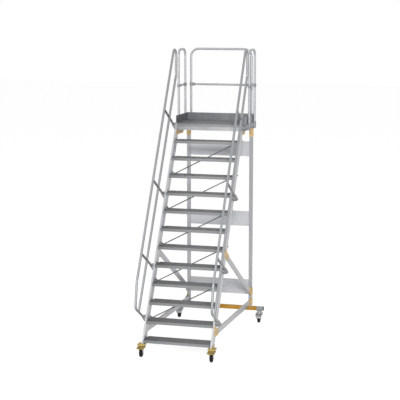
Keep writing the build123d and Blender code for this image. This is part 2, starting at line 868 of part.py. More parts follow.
everything = Compound(children=[Compound(shape.wrapped) for shapes in nodes.values() for shape in shapes])
bounds = everything.bounding_box()
middle_y = (bounds.min.Y + bounds.max.Y) / 2
for node, shapes in nodes.items():
    solids = [solid for shape in shapes for solid in shape.solids()]
    placed = [Pos(0, -middle_y, 0) * solid for solid in solids]
    result = placed[0] if len(placed) == 1 else Compound(children=placed)
    export_step(result, f"parts/{node}.step")

print(f"stairs move back by {-middle_y:.3f} mm, box {bounds.size}")
for name, x, y, _ in caster_table:
    print(f"{name} swivel at {x:.3f} {y - middle_y:.3f}, wheel at {y - trail - middle_y:.3f} {axle_height}")
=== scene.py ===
from math import atan2, cos, pi, radians, sin, tan

import bmesh
import bpy
import numpy as np
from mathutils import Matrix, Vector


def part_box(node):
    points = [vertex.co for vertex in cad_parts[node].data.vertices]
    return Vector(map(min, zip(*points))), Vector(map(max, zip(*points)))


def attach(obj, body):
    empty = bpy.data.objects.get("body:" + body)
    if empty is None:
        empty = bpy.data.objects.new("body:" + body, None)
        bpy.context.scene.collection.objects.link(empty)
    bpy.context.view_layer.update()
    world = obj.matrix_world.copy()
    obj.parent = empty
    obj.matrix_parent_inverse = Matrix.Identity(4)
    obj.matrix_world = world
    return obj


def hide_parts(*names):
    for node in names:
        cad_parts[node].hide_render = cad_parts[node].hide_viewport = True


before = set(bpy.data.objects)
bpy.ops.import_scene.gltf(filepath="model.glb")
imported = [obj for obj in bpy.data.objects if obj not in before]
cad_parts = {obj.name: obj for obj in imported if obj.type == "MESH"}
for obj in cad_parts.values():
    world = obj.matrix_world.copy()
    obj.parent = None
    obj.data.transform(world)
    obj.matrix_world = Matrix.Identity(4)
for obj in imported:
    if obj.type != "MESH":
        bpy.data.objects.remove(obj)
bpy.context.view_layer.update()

# The view, the light and the floor.
# The camera stands in front of the stairs, a little to their right and above eye level,
# as in the photograph. Floor and sky show white to the camera and in reflections.
camera_azimuth = radians(15.601)
camera_pitch = radians(8.779)
camera_place = (4.857, -17.3195, 4.844)
camera_data = bpy.data.cameras.new("camera")
camera_data.sensor_width = 36.0
focal_length_pixels = 1256.858
image_width_pixels = 400
camera_data.lens = camera_data.sensor_width * focal_length_pixels / image_width_pixels
camera_data.clip_end = 200.0
camera = bpy.data.objects.new("camera", camera_data)
camera.location = camera_place
camera.rotation_euler = (pi / 2 - camera_pitch, 0.0, camera_azimuth)
bpy.context.scene.collection.objects.link(camera)
bpy.context.scene.camera = camera
bpy.context.scene.view_settings.view_transform = "Standard"


class Signal:
    """A shader socket whose arithmetic adds Math nodes to its own node tree."""

    def __init__(self, tree, socket):
        self.tree = tree
        self.socket = socket

    def math(self, operation, first, second):
        return add_node(self.tree, "ShaderNodeMath", {"operation": operation},
                        {0: first, 1: second})

    def __add__(self, other):
        return self.math("ADD", self, other)

    def __radd__(self, other):
        return self.math("ADD", other, self)

    def __sub__(self, other):
        return self.math("SUBTRACT", self, other)

    def __rsub__(self, other):
        return self.math("SUBTRACT", other, self)

    def __mul__(self, other):
        return self.math("MULTIPLY", self, other)

    def __rmul__(self, other):
        return self.math("MULTIPLY", other, self)

    def __gt__(self, other):
        return self.math("GREATER_THAN", self, other)


def fill_sockets(tree, node, sockets):
    """Links signals to a node's inputs, and sets the plain values."""
    for key, value in sockets.items():
        if isinstance(value, Signal):
            tree.links.new(value.socket, node.inputs[key])
        else:
            node.inputs[key].default_value = value


def add_node(tree, kind, settings=None, sockets=None, output=0):
    """Adds a node with its settings, fills its sockets, and returns one output."""
    node = tree.nodes.new(kind)
    for key, value in (settings or {}).items():
        if key == "stops":
            ramp = node.color_ramp.elements
            while len(ramp) < len(value):
                ramp.new(1.0)
            for element, (position, colour) in zip(ramp, value):
                element.position = position
                element.color = (*colour, 1.0)
        else:
            setattr(node, key, value)
    fill_sockets(tree, node, sockets or {})
    return Signal(tree, node.outputs[output]) if len(node.outputs) else None


def new_finish(name):
    """A new material: the material, its node tree and its Principled shader."""
    material = bpy.data.materials.new(name)
    material.use_nodes = True
    return material, material.node_tree, material.node_tree.nodes["Principled BSDF"]


world = bpy.data.worlds.new("studio")
bpy.context.scene.world = world
world.use_nodes = True
sky = world.node_tree
sky.nodes.clear()
sky_path = add_node(sky, "ShaderNodeLightPath", output="Is Camera Ray")
seen = sky_path + Signal(sky, sky_path.socket.node.outputs["Is Glossy Ray"])
seen = seen + Signal(sky, sky_path.socket.node.outputs["Is Transmission Ray"])
sky_strength = 0.27
sky_light = add_node(sky, "ShaderNodeBackground", sockets={0: (1, 1, 1, 1), 1: sky_strength})
sky_shown = add_node(sky, "ShaderNodeBackground", sockets={0: (1, 1, 1, 1), 1: 1.0})
sky_mix = add_node(sky, "ShaderNodeMixShader", sockets={0: seen, 1: sky_light, 2: sky_shown})
add_node(sky, "ShaderNodeOutputWorld", sockets={0: sky_mix})

# name, power in watts, size in metres, place, target
lamp_table = (
    ("key_lamp", 2500.0, 3.0, (5.5, -17.0, 8.0), (0.0, 0.0, 2.0)),
    ("fill_lamp", 220.0, 5.0, (-9.0, -7.0, 6.0), (0.0, 0.0, 2.0)),
)
for lamp_name, power, size, place, target in lamp_table:
    lamp_data = bpy.data.lights.new(lamp_name, "AREA")
    lamp_data.energy = power
    lamp_data.size = size
    lamp = bpy.data.objects.new(lamp_name, lamp_data)
    dx, dy, dz = np.subtract(target, place)
    lamp.location = place
    lamp.rotation_euler = (atan2(np.hypot(dx, dy), -dz), 0.0, atan2(dy, dx) - pi / 2)
    bpy.context.scene.collection.objects.link(lamp)


def mesh_object(name, vertices, faces, material, smooth=False):
    """Links an object at the origin: doubles merged, faces turned outwards."""
    mesh = bpy.data.meshes.new(name)
    mesh.from_pydata(np.asarray(vertices, float).tolist(), [], faces)
    work = bmesh.new()
    work.from_mesh(mesh)
    bmesh.ops.remove_doubles(work, verts=work.verts, dist=1e-6)
    bmesh.ops.recalc_face_normals(work, faces=work.faces)
    work.to_mesh(mesh)
    work.free()
    mesh.polygons.foreach_set("use_smooth", np.full(len(mesh.polygons), smooth))
    mesh.materials.append(material)
    mesh.update()
    piece = bpy.data.objects.new(name, mesh)
    bpy.context.scene.collection.objects.link(piece)
    return piece


# The floor is white to the camera and in reflections, with the shadow left in it, and
# a pale diffuse floor to all other light.
floor_finish, floor_tree, _ = new_finish("studio_floor")
floor_tree.nodes.clear()
floor_path = add_node(floor_tree, "ShaderNodeLightPath", output="Is Camera Ray")
floor_seen = floor_path + Signal(floor_tree, floor_path.socket.node.outputs["Is Glossy Ray"])
floor_plain = add_node(floor_tree, "ShaderNodeBsdfDiffuse", sockets={0: (0.75, 0.75, 0.75, 1)})
floor_weak = add_node(floor_tree, "ShaderNodeBsdfDiffuse", sockets={0: (0.6, 0.6, 0.6, 1)})
floor_glow = add_node(floor_tree, "ShaderNodeEmission", sockets={0: (1, 1, 1, 1), 1: 0.82})
floor_shown = add_node(floor_tree, "ShaderNodeAddShader", sockets={0: floor_weak, 1: floor_glow})
floor_mix = add_node(floor_tree, "ShaderNodeMixShader",
                     sockets={0: floor_seen, 1: floor_plain, 2: floor_shown})
add_node(floor_tree, "ShaderNodeOutputMaterial", sockets={0: floor_mix})
floor_half = 60.0
floor_corners = np.array([(-floor_half, -floor_half, 0), (floor_half, -floor_half, 0),
                          (floor_half, floor_half, 0), (-floor_half, floor_half, 0)])
floor = mesh_object("floor", floor_corners, [(0, 1, 2, 3)], floor_finish)


# Stringers, rear posts, platform frame, panels and toe boards: aluminium.
# Extrusions carry fine draw lines along their length; the satin surface has soft
# changes of sheen where it has been handled. On the platform frame and toe boards a
# painted reflection lightens the colour from the left of the stairs to the right.
slope = radians(60.0)


def mix_colours(tree, amount, first, second):
    """One colour turning into another as amount goes from 0 to 1."""
    return add_node(tree, "ShaderNodeMix", {"data_type": "RGBA"},
                    {0: amount, 6: first, 7: second}, output=2)


def noise(tree, place, scale, detail):
    """Noise of one scale, read at each point of the object."""
    return add_node(tree, "ShaderNodeTexNoise",
                    sockets={"Vector": place, "Scale": scale, "Detail": detail})


def stretched(tree, place, scales):
    """The place times a scale of its own on each axis."""
    return add_node(tree, "ShaderNodeVectorMath", {"operation": "MULTIPLY"}, {0: place, 1: scales})


def bump(tree, height, strength, distance):
    """Normals tilted by small changes of height, in metres."""
    return add_node(tree, "ShaderNodeBump",
                    sockets={"Strength": strength, "Distance": distance, "Height": height})


def shaded(tone, red_green, blue):
    """A colour made lighter or darker, with a factor of its own for blue."""
    return (tone[0] * red_green, tone[1] * red_green, tone[2] * blue, 1)


def drawn_metal(name, tone, turn, grain, sheen, metallic, painted_reflection):
    """Satin metal with draw lines: noise stretched along one axis after a turn about X.
    The last argument is how much a painted reflection lightens the colour from the left edge of the
    stairs to the right."""
    material, tree, shader = new_finish(name)
    place = add_node(tree, "ShaderNodeTexCoord", output="Object")
    turned = add_node(tree, "ShaderNodeMapping",
                      sockets={"Vector": place, "Rotation": (turn, 0, 0)})
    lines = noise(tree, stretched(tree, turned, grain), 1.0, 3.0)
    smudge = noise(tree, place, 4.5, 4.0)
    amount = 0.45 * lines + 0.55 * smudge
    dark = shaded(tone, 0.84, 0.85)
    light = shaded(tone, 1.12, 1.12)
    # Painted reflection: the colour grows lighter with X, over a wider spread of tone.
    if painted_reflection:
        amount = amount + painted_reflection * add_node(tree, "ShaderNodeSeparateXYZ", sockets={0: place})
        dark = shaded(tone, 0.5, 0.51)
        light = shaded(tone, 1.5, 1.5)
    fill_sockets(tree, shader, {"Base Color": mix_colours(tree, amount, dark, light),
                                "Roughness": sheen - 0.1 + 0.12 * lines + 0.08 * smudge,
                                "Metallic": metallic, "Normal": bump(tree, lines, 0.12, 0.0004)})
    return material


# scale of the noise across the draw lines and along them
fine = 420.0
long = 3.0
# name, tone, turn about X, scale of the lines on each axis, roughness, metallic, painted reflection
grain_table = (
    ("stringer_aluminium", (0.55, 0.56, 0.575), pi / 2 - slope, (fine, fine, long),
     0.38, 0.55, 0.0),
    ("post_aluminium", (0.42, 0.43, 0.445), 0.0, (fine, fine, long), 0.38, 0.55, 0.0),
    ("panel_aluminium", (0.58, 0.59, 0.608), 0.0, (long, fine, fine), 0.46, 0.3, 0.0),
    ("frame_aluminium", (0.40, 0.41, 0.42), 0.0, (long, fine, fine), 0.42, 0.35, 0.55),
    # The toe boards are the same sheet aluminium, given a dark tone as painted shade.
    ("toe_board_aluminium", (0.22, 0.225, 0.235), 0.0, (long, fine, fine), 0.44, 0.4, 0.5),
    ("brace_aluminium", (0.48, 0.49, 0.508), 0.0, (fine, long, fine), 0.38, 0.55, 0.0),
)
metals = {}
for name, tone, turn, grain, sheen, metallic, painted_reflection in grain_table:
    metals[name] = drawn_metal(name, tone, turn, grain, sheen, metallic, painted_reflection)


def dress(prefixes, material):
    """Gives one finish to all slots of the CAD nodes whose names start as given."""
    for name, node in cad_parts.items():
        if name.startswith(prefixes):
            for slot in node.material_slots:
                slot.material = material


dress(("stringer",), metals["stringer_aluminium"])
dress(("rear_post",), metals["post_aluminium"])
dress(("cross_panels",), metals["panel_aluminium"])
dress(("platform_frame",), metals["frame_aluminium"])
dress(("toe_boards",), metals["toe_board_aluminium"])

# Rails, posts and hoops: bent round aluminium tube, satin, with cast sleeves and tees.
# The tubes are drawn, and their finish has fine scratches of no one direction; the castings are
# matt and grainy.


def tube_metal(name, tone, sheen, metallic):
    """Satin tube: cloudy sheen with fine scratches of no one direction."""
    material, tree, shader = new_finish(name)
    place = add_node(tree, "ShaderNodeTexCoord", output="Object")
    cloud = noise(tree, place, 6.0, 4.0)
    scratch = noise(tree, place, 260.0, 3.0)
    shade = mix_colours(tree, 0.85 * cloud + 0.15 * scratch, shaded(tone, 0.85, 0.86),
                        shaded(tone, 1.1, 1.1))
    fill_sockets(tree, shader, {"Base Color": shade, "Roughness": sheen - 0.08 + 0.16 * scratch,
                                "Metallic": metallic, "Normal": bump(tree, scratch, 0.04, 0.0002)})
    return material


dress(("handrail", "knee_rail"), tube_metal("rail_tube", (0.33, 0.34, 0.352), 0.36, 0.55))
dress(("platform_railing",), tube_metal("hoop_tube", (0.45, 0.46, 0.475), 0.36, 0.5))
# The rail posts are the same tube as the rails, given a darker tone as painted shade.
dress(("rail_posts",), tube_metal("post_tube_painted_shade", (0.24, 0.245, 0.255), 0.4, 0.4))
cast_metal = tube_metal("cast_aluminium", (0.30, 0.305, 0.315), 0.52, 0.3)
dress(("rail_sleeves", "railing_sleeves", "railing_joints"), cast_metal)

# Treads and deck.
# Extruded planks whose walking surface is ribbed. Faces that look up are dark, partly
# dirt in the grooves and partly painted shade, and the ribs' tops are worn bright.
# Painted shade darkens the planks towards their ends. The noses are plain and lighter.


def ribbed_metal(name, low, high):
    """Plank finish: dark where a face looks up, partly dirt and partly painted shade, and
    light on the upright faces. Painted shade darkens a plank towards its ends, by the
    square of the distance from its least shaded place."""
    material, tree, shader = new_finish(name)
    place = add_node(tree, "ShaderNodeTexCoord", output="Object")
    normal = add_node(tree, "ShaderNodeNewGeometry", output="Normal")
    # Faces that look up take the dark top colour: partly dirt, partly painted shade of the grooves.
    upward = add_node(tree, "ShaderNodeSeparateXYZ", sockets={0: normal}, output="Z") > 0.5
    lines = noise(tree, stretched(tree, place, (4.0, 500.0, 500.0)), 1.0, 2.0)
    wear = noise(tree, place, 7.0, 5.0)
    # Painted shade: darker towards the plank ends beside the stringers, most at the left end.
    least_shaded_x = 0.12
    off = add_node(tree, "ShaderNodeSeparateXYZ", sockets={0: place}) - least_shaded_x
    painted_end_shade = 1.5 * off * off
    top = mix_colours(tree, wear - painted_end_shade, (low, low, 1.05 * low, 1), (high, high, 1.05 * high, 1))
    side = mix_colours(tree, lines - painted_end_shade, (0.20, 0.206, 0.213, 1), (0.32, 0.327, 0.335, 1))
    fill_sockets(tree, shader, {"Base Color": mix_colours(tree, upward, side, top),
                                "Roughness": 0.42 + 0.2 * lines, "Metallic": 0.35,
                                "Normal": bump(tree, lines, 0.15, 0.0005)})
    return material


dress(("tread_",), ribbed_metal("ribbed_aluminium", 0.02, 0.10))
dress(("platform_deck",), ribbed_metal("deck_aluminium", 0.028, 0.05))


def plain_finish(name, dark, light, roughness, metallic, scale, gloss=0.5):
    """A finish between two close colours, mottled by noise of the given scale."""
    material, tree, shader = new_finish(name)
    place = add_node(tree, "ShaderNodeTexCoord", output="Object")
    grit = noise(tree, place, scale * 30, 2.0)
    shade = mix_colours(tree, noise(tree, place, scale, 5.0), (*dark, 1), (*light, 1))
    fill_sockets(tree, shader, {"Base Color": shade, "Roughness": roughness - 0.08 + 0.16 * grit,
                                "Metallic": metallic, "Specular IOR Level": gloss,
                                "Normal": bump(tree, grit, 0.1, 0.0003)})
    return material


black_plastic = plain_finish("black_plastic", (0.014, 0.015, 0.016), (0.026, 0.027, 0.029),
                             0.5, 0.0, 20.0, 0.3)
dress(("tread_caps",), black_plastic)

# Gold zinc steel: cross beam, brackets, gussets, feet and pedals.
# Plated and passivated steel, whose film shifts between yellow, olive and rose.


def gold_zinc(name, stops, sheen):
    """Passivated plating: a colour ramp read by two scales of noise."""
    material, tree, shader = new_finish(name)
    place = add_node(tree, "ShaderNodeTexCoord", output="Object")
    cloud = noise(tree, place, 9.0, 4.0)
    fleck = noise(tree, place, 160.0, 2.0)
    film = add_node(tree, "ShaderNodeValToRGB", {"stops": stops}, {0: 0.75 * cloud + 0.25 * fleck})
    fill_sockets(tree, shader, {"Base Color": film, "Roughness": sheen + 0.15 * fleck,
                                "Metallic": 0.4, "Normal": bump(tree, fleck, 0.1, 0.0003)})
    return material


deep_gold = gold_zinc("gold_zinc_beam", [(0.3, (0.38, 0.18, 0.014)), (0.5, (0.46, 0.23, 0.021)),
                                         (0.7, (0.54, 0.28, 0.04))], 0.36)
pale_gold = gold_zinc("gold_zinc_brackets", [(0.3, (0.52, 0.34, 0.10)), (0.5, (0.70, 0.46, 0.15)),
                                             (0.7, (0.76, 0.52, 0.24))], 0.34)
olive_gold = gold_zinc("gold_zinc_feet", [(0.3, (0.30, 0.24, 0.07)), (0.5, (0.5, 0.37, 0.1)),
                                          (0.7, (0.66, 0.5, 0.2))], 0.34)
gusset_gold = gold_zinc("gold_zinc_gussets", [(0.3, (0.42, 0.25, 0.06)), (0.5, (0.56, 0.34, 0.09)),
                                              (0.7, (0.66, 0.42, 0.15))], 0.34)
dress(("cross_beam",), deep_gold)
dress(("cross_beam_caps",), black_plastic)
dress(("post_sleeves",), pale_gold)
dress(("platform_gussets",), gusset_gold)
dress(("brake_pedal",), olive_gold)

# Side braces and base tubes: box sections of drawn aluminium between the stringers'
# back edges and the rear posts' front faces. They stand for the CAD's plainer tubes.
tread_low, tread_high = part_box("tread_01")
nosing_y = tread_low[1]
nosing_z = tread_high[2]
stringer_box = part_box("stringer_right")
post_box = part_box("rear_post_right")
stringer_outer = stringer_box[1][0]
stringer_inner = stringer_box[0][0]
stringer_middle = (stringer_outer + stringer_inner) / 2
stringer_front = -0.0225
stringer_back = -0.1475
post_front = post_box[0][1]
post_rear = post_box[1][1]
post_middle = (post_front + post_rear) / 2
post_outer = post_box[1][0]
brace_height = 0.088
brace_corner = 0.0125
brace_level = 1.360
base_tube_y = nosing_y + 0.284
base_tube_front_z = 0.350
base_tube_rear_z = 0.310
sides = (("left", -1), ("right", 1))


def on_slope(along, square, x):
    """Points by distances along the nosings, square to them (forwards, up) and across."""
    along, square, x = np.broadcast_arrays(along, square, x)
    y = nosing_y + along * cos(slope) - square * sin(slope)
    z = nosing_z + along * sin(slope) + square * cos(slope)
    return np.stack([x, y, z], axis=-1).astype(float)


def square_of(points):
    """Distance of points square to the line of nosings: height by cosine less depth by sine."""
    return (points[..., 2] - nosing_z) * cos(slope) - (points[..., 1] - nosing_y) * sin(slope)


def level_of(point):
    """Distance of a point along the line of nosings: depth by cosine plus height by sine."""
    return (point[1] - nosing_y) * cos(slope) + (point[2] - nosing_z) * sin(slope)


def rounded_outline(width, height, radius):
    """A rectangle's outline: four corner centres, each plus a quarter circle."""
    quarter = np.arange(4)[:, None] * pi / 2
    turn = quarter + np.linspace(0, 1, 5)[None, :] * pi / 2
    x = np.sign(np.cos(quarter + pi / 4)) * (width / 2 - radius) + radius * np.cos(turn)
    y = np.sign(np.sin(quarter + pi / 4)) * (height / 2 - radius) + radius * np.sin(turn)
    return np.stack([x.ravel(), y.ravel()], axis=1)


def grid_quads(copies, rows, columns):
    """Quads of several grids whose last column joins the first: each point with its next ones."""
    index = np.arange(copies * rows * columns).reshape(copies, rows, columns)
    after = np.roll(index, -1, axis=2)
    corners = [index[:, :-1], after[:, :-1], after[:, 1:], index[:, 1:]]
    return np.stack(corners, axis=-1).reshape(-1, 4).tolist()


def capped(grid):
    """A grid closed at both ends: a row at the middle of its first and one of its last row."""
    first = np.broadcast_to(grid[0].mean(0), grid[0].shape)
    last = np.broadcast_to(grid[-1].mean(0), grid[-1].shape)
    return np.concatenate([first[None], grid, last[None]])


def add_piece(name, vertices, faces, material, body, bevel=0.0, smooth=False):
    """Makes a piece with small bevels on its edges, and gives it its body and slot."""
    piece = mesh_object(name, vertices, faces, material, smooth)
    if bevel:
        edges = piece.modifiers.new("edges", "BEVEL")
        edges.width = bevel
        edges.segments = 2
        edges.limit_method = "ANGLE"
    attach(piece, body)
    return piece


def skin_piece(name, points, material, body="stairs", bevel=0.0, smooth=False):
    """A piece of closed grids, whose points have the axes copy, row, column, coordinate."""
    faces = grid_quads(*points.shape[:3])
    return add_piece(name, points.reshape(-1, 3), faces, material, body, bevel, smooth)


def unit(y, z):
    """A unit vector in the plane of a stringer."""
    return np.array([0.0, y, z]) / np.hypot(y, z)


brace_start = on_slope(brace_level, stringer_back, stringer_middle)
base_start = np.array([stringer_middle, base_tube_y, base_tube_front_z])
# name of the nodes that it stands for, start of the axis, direction of the axis
member_table = (
    ("side_brace", brace_start, unit(sin(slope), -cos(slope))),
    ("base_tube", base_start, unit(post_front - base_tube_y, base_tube_rear_z - base_tube_front_z)),
)


def crossing(points, axis):
    """Where lines along an axis leave the stringer's back edge: points plus runs to that edge."""
    gain = axis[2] * cos(slope) - axis[1] * sin(slope)
    run = (stringer_back - square_of(points)) / gain
    return points + run[..., None] * axis


def member_points(start, axis, sign):
    """A box section: the outline square to the axis, slid along it to the two end planes."""
    outline = rounded_outline(stringer_outer - stringer_inner, brace_height, brace_corner)
    upright = np.array([0.0, -axis[2], axis[1]])
    base = start + outline[:, :1] * np.array([1.0, 0, 0]) + outline[:, 1:] * upright
    high = base + ((post_front - base[:, 1]) / axis[1])[:, None] * axis
    section = capped(np.stack([crossing(base, axis), high]))
    return (section * np.array([sign, 1.0, 1.0]))[None]


for name, start, axis in member_table:
    for side, sign in sides:
        member = skin_piece(f"{name}_section_{side}", member_points(start, axis, sign),
                            metals["brace_aluminium"])
        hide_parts(f"{name}_{side}")

# Brackets of the braces and base tubes: gold zinc plate 5 mm thick.
# One lies on the stringer's outer face and runs on over the brace; the other is
# cranked from the brace's outer face out to the post's.
bracket_plate = 0.005
bracket_lap = 0.125
collar_half = 0.056
plate_bevel = 0.0012


def plate_shell(outline, x_from, x_to):
    """A flat plate: one outline of (y, z) points on two X planes, walled along its edge."""
    count = len(outline)
    near = np.column_stack([np.full(count, x_from), outline])
    far = np.column_stack([np.full(count, x_to), outline])
    index = np.arange(count)
    after = np.roll(index, -1)
    walls = np.stack([index, after, after + count, index + count], axis=1).tolist()
    return np.vstack([near, far]), [index.tolist(), (index[::-1] + count).tolist()] + walls


def shells_piece(name, shells, material, body="stairs", bevel=plate_bevel):
    """One piece of several shells, each with its points and its faces."""
    vertices = []
    faces = []
    start = 0
    for points, shell_faces in shells:
        faces += [[corner + start for corner in face] for face in shell_faces]
        vertices.append(points)
        start += len(points)
    return add_piece(name, np.vstack(vertices), faces, material, body, bevel)


def bracket_outline(start, axis, shift, half_length, reach):
    """A T in the stringer's plane: a band on the stringer and a strip on along the brace."""
    level = level_of(crossing(start, axis))
    half_strip = brace_height / 2 / abs(axis[1] * sin(slope) - axis[2] * cos(slope))
    low = level + shift - half_length
    high = level + shift + half_length
    band = on_slope([high, low, low, level - half_strip],
                    stringer_back + reach * np.array([1, 1, 0, 0]), 0.0)
    back = on_slope([level + half_strip, high], stringer_back, 0.0)
    strip = np.stack([band[3], back[0]]) + bracket_lap * axis
    return np.vstack([band, strip, back])[:, 1:]


def collar_points(start, axis, lift, sign):
    """A cranked strip: stations along Y, each a rectangle between two X and two Z values."""
    lap = bracket_lap * axis[1]
    crank = 0.012
    y = np.array([post_front - lap, post_front - crank, post_front - 0.001, post_rear])
    inner = np.array([stringer_outer, stringer_outer, post_outer, post_outer])
    axis_z = start[2] + (y - start[1]) / axis[1] * axis[2]
    half = np.array([brace_height / 2 / axis[1], collar_half, collar_half, collar_half])
    middle = np.where(y < post_front - crank, axis_z, axis_z[2] + lift)
    middle[1] = axis_z[1] + lift * 0.7
    outer = inner + bracket_plate
    ring = [(inner, middle - half), (outer, middle - half),
            (outer, middle + half), (inner, middle + half)]
    grid = np.stack([np.stack([x, y, z], axis=1) for x, z in ring], axis=1)
    return capped(grid) * np.array([sign, 1.0, 1.0])


# axis row, shift up the slope, half length, reach over the stringer, lift of the collar
bracket_table = (
    (member_table[0], 0.0, 0.0575, 0.100, 0.012),
    (member_table[1], 0.010, 0.0640, 0.118, 0.020),
)
bracket_shells = []
collar_grids = []
for (_, start, axis), shift, half_length, reach, lift in bracket_table:
    for _, sign in sides:
        outline = bracket_outline(start, axis, shift, half_length, reach)
        bracket_shells.append(plate_shell(outline, sign * stringer_outer,
                                          sign * (stringer_outer + bracket_plate)))
        collar_grids.append(collar_points(start, axis, lift, sign))
brackets = shells_piece("stringer_brackets", bracket_shells, pale_gold)
skin_piece("post_brackets", np.stack(collar_grids), pale_gold,
           bevel=plate_bevel)
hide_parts("brace_clamps")

# Feet of the stringers: a folded gold zinc shoe over each front caster.
# A plate carries the stringer's end; its skirt hangs on three sides round the swivel,
# and a low cheek holds the stringer's outer face.
foot_high = nosing_z - 0.049
foot_low = foot_high - 0.006
skirt_low = 0.163
skirt_rear = nosing_y + 0.080
foot_x = 0.508
foot_half = 0.050
foot_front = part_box("foot_brackets")[0][1]
stringer_end = nosing_y - stringer_back / sin(slope) + (foot_high - nosing_z) / tan(slope)
sheet = 0.005
cheek_square = np.array([stringer_front, stringer_front, stringer_back, stringer_back])
cheek_z = np.array([0.0, 0.022, 0.022, 0.0]) + foot_high
cheek_y = nosing_y + (cheek_z - nosing_z) / tan(slope) - cheek_square / sin(slope)
shoe_shells = []


def box_shell(x_from, x_to, y_from, y_to, z_from, z_to):
    """A rectangular plate between two planes on each axis."""
    outline = np.array([(y_from, z_from), (y_to, z_from), (y_to, z_to), (y_from, z_to)])
    return plate_shell(outline, x_from, x_to)


for _, sign in sides:
    inner_x = sign * foot_x - foot_half
    outer_x = sign * foot_x + foot_half
    cheek_x = sign * (stringer_outer + sheet)
    shoe_shells += [
        box_shell(inner_x, outer_x, foot_front, skirt_rear, foot_low, foot_high),
        box_shell(sign * stringer_inner, cheek_x, skirt_rear, stringer_end, foot_low, foot_high),
        box_shell(inner_x, inner_x + sheet, foot_front, skirt_rear, skirt_low, foot_low),
        box_shell(outer_x - sheet, outer_x, foot_front, skirt_rear, skirt_low, foot_low),
        box_shell(inner_x + sheet, outer_x - sheet, foot_front, foot_front + sheet,
                  skirt_low, foot_low),
        plate_shell(np.column_stack([cheek_y, cheek_z]), sign * stringer_outer, cheek_x),
    ]
shoes = shells_piece("stringer_shoes", shoe_shells, olive_gold)
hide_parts("foot_brackets")

# Bolts, screws and rivets.
# Zinc-plated hexagon bolts with washers hold the brackets and castings; round heads
# hold the treads, sheets and boards.


def turned_points(rows, sides_round, places, directions, radius):
    """Heads: place + height along the direction + radius round it, squeezed to a hexagon
    by cos 30 over the cosine of the turn within one flat where the row says so."""
    rows = np.asarray(rows, float)
    places = np.asarray(places, float).reshape(-1, 3)
    directions = np.broadcast_to(np.asarray(directions, float), places.shape)
    directions = directions / np.linalg.norm(directions, axis=1, keepdims=True)
    helper = np.where(np.abs(directions[:, :1]) < 0.9, [[1.0, 0, 0]], [[0, 1.0, 0]])
    first = np.cross(directions, helper)
    first /= np.linalg.norm(first, axis=1, keepdims=True)
    second = np.cross(directions, first)
    turn = 2 * pi * np.arange(sides_round) / sides_round
    flat = cos(pi / 6) / np.cos(turn % (pi / 3) - pi / 6)
    spread = rows[:, None, 0] * (1 + rows[:, None, 2] * (flat[None, :] - 1)) * radius
    spread = spread[None, :, :, None]
    turn = turn[None, None, :, None]
    lift = rows[None, :, None, 1, None] * radius * directions[:, None, None, :]
    return (places[:, None, None, :] + lift + spread * np.cos(turn) * first[:, None, None, :]
            + spread * np.sin(turn) * second[:, None, None, :])


# radius, height, 1 where the outline is a hexagon; all times the head's radius
bolt_rows = ((0.0, -0.1, 0), (1.3, -0.1, 0), (1.3, 0.16, 0), (1.24, 0.2, 0), (1.0, 0.2, 1),
             (1.0, 0.78, 1), (0.86, 0.9, 0), (0.0, 0.9, 0))
rivet_rows = ((0.0, -0.1, 0), (1.0, -0.1, 0), (1.0, 0.12, 0), (0.86, 0.36, 0), (0.5, 0.54, 0),
              (0.0, 0.6, 0))
bolt_zinc = plain_finish("bolt_zinc", (0.42, 0.43, 0.44), (0.58, 0.59, 0.6), 0.34, 0.6, 60.0)


def both_sides(points):
    """Points of the right-hand side, followed by their mirror images."""
    points = np.asarray(points, float).reshape(-1, 3)
    return np.vstack([points, points * np.array([-1.0, 1.0, 1.0])])


def outward(points):
    """The direction away from the middle plane for each point."""
    return np.column_stack([np.sign(points[:, 0]), np.zeros(len(points)), np.zeros(len(points))])


def bolts(name, places, directions, radius):
    """Hexagon bolts with washers at the given places."""
    points = turned_points(bolt_rows, 24, places, directions, radius)
    return skin_piece(name, points, bolt_zinc)


def rivets(name, places, directions, radius, material):
    """Round heads at the given places."""
    points = turned_points(rivet_rows, 16, places, directions, radius)
    return skin_piece(name, points, material, smooth=True)


bracket_bolts = []
bolt_x = stringer_outer + bracket_plate
bolt_inset = 0.022
bolt_share = 0.62
collar_bolt_depth = 0.025
collar_bolt_half = 0.03
for (_, start, axis), shift, half_length, reach, lift in bracket_table:
    leave = crossing(start, axis)
    leave[0] = bolt_x
    level = level_of(leave) + shift
    band_levels = [level - half_length + bolt_inset, level + half_length - bolt_inset]
    bracket_bolts.append(on_slope(band_levels, stringer_back + reach * bolt_share, bolt_x))
    bracket_bolts.append(leave + np.outer([0.040, bracket_lap - 0.025], axis))
    arrive = leave + axis * (post_front - leave[1]) / axis[1]
    bracket_bolts.append(arrive - np.outer([0.04, 0.1], axis))
    bracket_bolts.append(arrive + np.array([(post_outer - stringer_outer, collar_bolt_depth,
                                             lift + dz)
                                            for dz in (collar_bolt_half, -collar_bolt_half)]))
bracket_bolts = both_sides(np.vstack(bracket_bolts))
bolts("bracket_bolts", bracket_bolts, outward(bracket_bolts), 0.009)

# Screws through the stringers into the ends of the treads, where no bracket lies.
riser = 0.24
tread_count = 12
tread_depth = 0.24
tread_height = 0.04
tread_pitch = riser / sin(slope)
screw_numbers = np.array([1, 3, 4, 7, 8, 10, 11, 12])[:, None]
screw_y = nosing_y + (screw_numbers - 1) * riser / tan(slope) + np.array([0.050, 0.125])
screw_z = np.broadcast_to(nosing_z + (screw_numbers - 1) * riser - tread_height / 2, screw_y.shape)
screw_x = np.full(screw_y.shape, stringer_outer)
tread_screws = both_sides(np.stack([screw_x, screw_y, screw_z], axis=-1))
rivets("tread_screws", tread_screws, outward(tread_screws), 0.0075, bolt_zinc)

